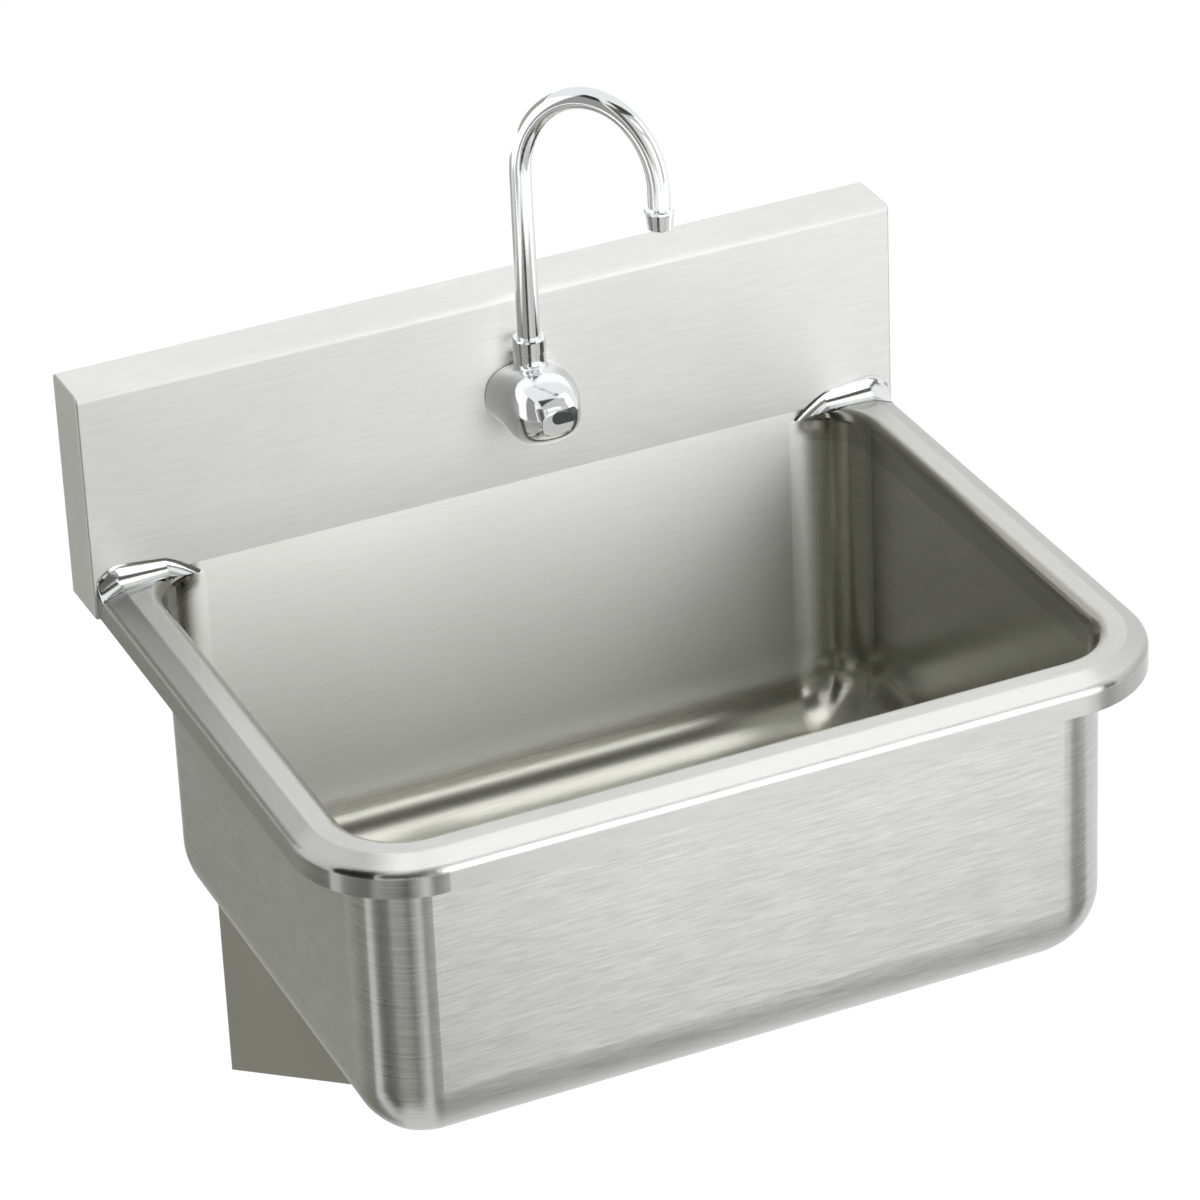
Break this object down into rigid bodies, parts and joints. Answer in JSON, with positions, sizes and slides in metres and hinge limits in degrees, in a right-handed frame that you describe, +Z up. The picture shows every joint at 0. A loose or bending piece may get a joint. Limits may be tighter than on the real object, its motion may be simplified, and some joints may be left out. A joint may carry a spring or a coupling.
{
  "type": "wall-mounted hand sink",
  "caption": "Wall-hung stainless hand sink: deep bowl with sloping rim, boxed backsplash on a hanger rail, gusset brackets, grid drain and a sensor tap with a swivelling gooseneck.",
  "frame": {"origin": "centre of the wall hanger rail's screw line, on the wall plane", "axes": "+Z up, +Y into the wall, the user stands at -Y, +X to the user's right"},
  "size_m": [0.635, 0.4953, 0.793],
  "materials": {
    "stainless": "satin brushed, with polished weld coves",
    "bracket_steel": "dull satin",
    "zinc_steel": "zinc plated",
    "fastener_steel": "bright plated",
    "chrome": "polished chrome plate",
    "brass": "machined",
    "rubber": "moulded",
    "white_plastic": "moulded",
    "black_plastic": "moulded",
    "dark_window": "infrared-clear dark plastic"
  },
  "bodies": {
    "sink": {"bowl_shell": "stainless", "backsplash_panel": "stainless", "end_cap_right": "stainless", "end_cap_left": "stainless", "wall_hanger_rail": "zinc_steel", "gusset_bracket_right": "bracket_steel", "gusset_bracket_left": "bracket_steel", "bowl_weld_studs": "fastener_steel", "bracket_washers": "fastener_steel", "bracket_nuts": "fastener_steel", "drain_body": "chrome", "drain_grid_strainer": "chrome", "drain_gasket": "rubber", "drain_friction_washer": "white_plastic", "drain_locknut": "brass", "tailpiece_washer": "rubber", "drain_tailpiece": "chrome", "drain_slip_nut": "chrome", "tap_body": "chrome", "tap_base_gasket": "rubber", "tap_shank": "brass", "tap_shank_washer": "fastener_steel", "tap_shank_locknut": "brass", "tap_sensor_lens": "dark_window", "tap_sensor_module": "black_plastic", "tap_set_screw": "fastener_steel", "valve_service_plug": "chrome", "valve_coil_housing": "black_plastic", "neck_bush": "chrome", "neck_coupling_nut": "chrome"},
    "spout": {"spout_foot": "brass", "spout_o_rings": "rubber", "spout_tube": "chrome", "spout_retaining_collar": "brass", "spout_outlet_collar": "chrome", "aerator_washer": "rubber", "aerator_insert": "white_plastic"},
    "plunger": {"valve_plunger": "fastener_steel", "valve_plunger_seal": "rubber"}
  },
  "joints": [
    {"name": "spout_swivel", "type": "hinge", "parent": "sink", "child": "spout", "pos_m": [0.02, -0.062, -0.0083], "axis": [0, 0, 1], "range_deg": [-134, 46]},
    {"name": "valve_plunger_slide", "type": "slide", "parent": "sink", "child": "plunger", "axis": [0, 0, -1], "range_m": [0, 0.0012]}
  ]
}
